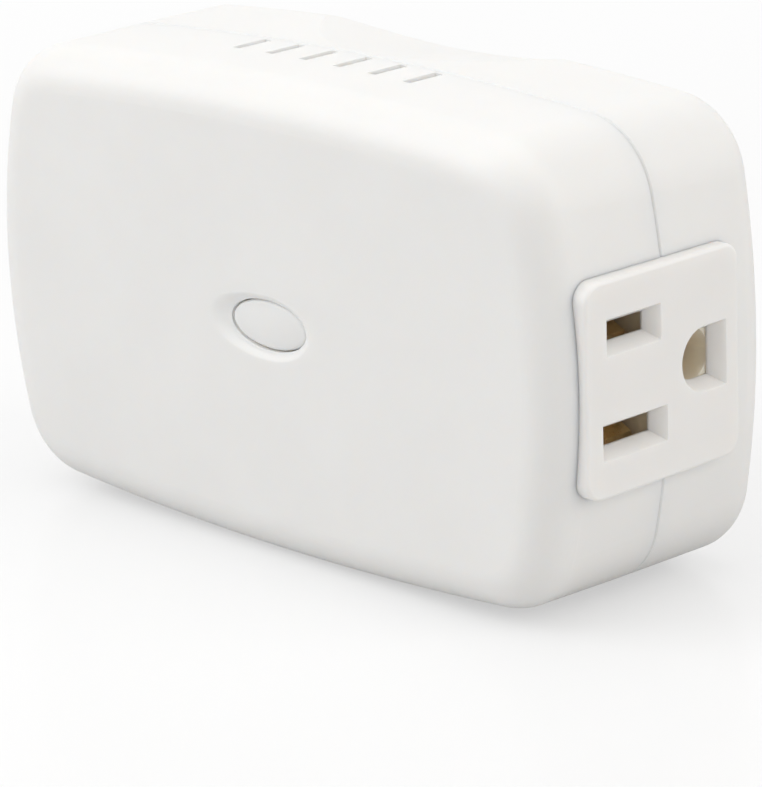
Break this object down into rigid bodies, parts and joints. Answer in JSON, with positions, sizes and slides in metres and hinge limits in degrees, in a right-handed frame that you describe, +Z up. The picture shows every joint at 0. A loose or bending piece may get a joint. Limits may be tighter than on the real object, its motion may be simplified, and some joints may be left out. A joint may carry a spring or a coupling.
{
  "type": "plug-in lamp dimmer module",
  "caption": "White plug-in lamp dimmer module with a push button on its front face, a grounded outlet in one side and plug blades on its back.",
  "frame": {"origin": "middle of the flat back face that meets the wall plate", "axes": "+X towards the side that carries the outlet, +Y out of the back towards the wall, +Z up as it lies on its long side in the picture"},
  "size_m": [0.1044, 0.0584, 0.0616],
  "materials": {
    "housing_white": "satin moulded",
    "plate_white": "satin moulded",
    "button_white": "satin moulded",
    "inner_plastic": "plain moulded",
    "contact_brass": "bright",
    "blade_metal": "nickel plated",
    "package_black": "moulded",
    "board_green": "solder mask",
    "screw_steel": "zinc plated",
    "pad_grey": "silicone sheet",
    "sink_aluminium": "extruded",
    "core_grey": "ferrite",
    "winding_copper": "enamelled wire",
    "sleeve_dark": "shrink sleeve",
    "film_yellow": "moulded",
    "varistor_blue": "dipped coating",
    "resistor_beige": "lacquered",
    "fuse_glass": "clear",
    "bright_metal": "tin plated"
  },
  "bodies": {
    "housing": {"front_shell": "housing_white", "rear_shell": "housing_white", "outlet_plate": "plate_white", "socket_block": "inner_plastic", "socket_cover": "inner_plastic", "blade_carrier": "inner_plastic", "hot_contact": "contact_brass", "neutral_contact": "contact_brass", "ground_contact": "contact_brass", "line_blade": "blade_metal", "neutral_blade": "blade_metal", "ground_pin": "blade_metal", "tact_switch": "package_black", "main_board": "board_green", "control_board": "board_green", "header_pins": "contact_brass", "header_block": "package_black", "housing_screws": "screw_steel", "board_screws": "screw_steel", "control_board_screws": "screw_steel", "triac": "package_black", "triac_screw": "screw_steel", "thermal_pad": "pad_grey", "heat_sink": "sink_aluminium", "choke_core": "core_grey", "choke_winding": "winding_copper", "supply_capacitor": "sleeve_dark", "small_capacitor": "sleeve_dark", "optocoupler": "package_black", "bridge_rectifier": "package_black", "film_capacitor": "film_yellow", "varistor": "varistor_blue", "dropper_resistors": "resistor_beige", "fuse_tube": "fuse_glass", "fuse_caps": "bright_metal", "fuse_clips": "bright_metal", "controller_chip": "package_black", "crystal": "bright_metal", "radio_shield": "bright_metal"},
    "button": {"button_cap": "button_white"},
    "plunger": {"tact_plunger": "package_black"}
  },
  "joints": [
    {"name": "button_press", "type": "slide", "parent": "housing", "child": "button", "axis": [0, 1, 0], "range_m": [0, 0.0005], "stiffness_N_per_m": 300, "springref_m": -0.0005},
    {"name": "switch_press", "type": "slide", "parent": "housing", "child": "plunger", "axis": [0, 1, 0], "range_m": [0, 0.0005]}
  ],
  "couplings": [
    {"joint": "switch_press", "follows": "button_press", "ratio": 1}
  ]
}
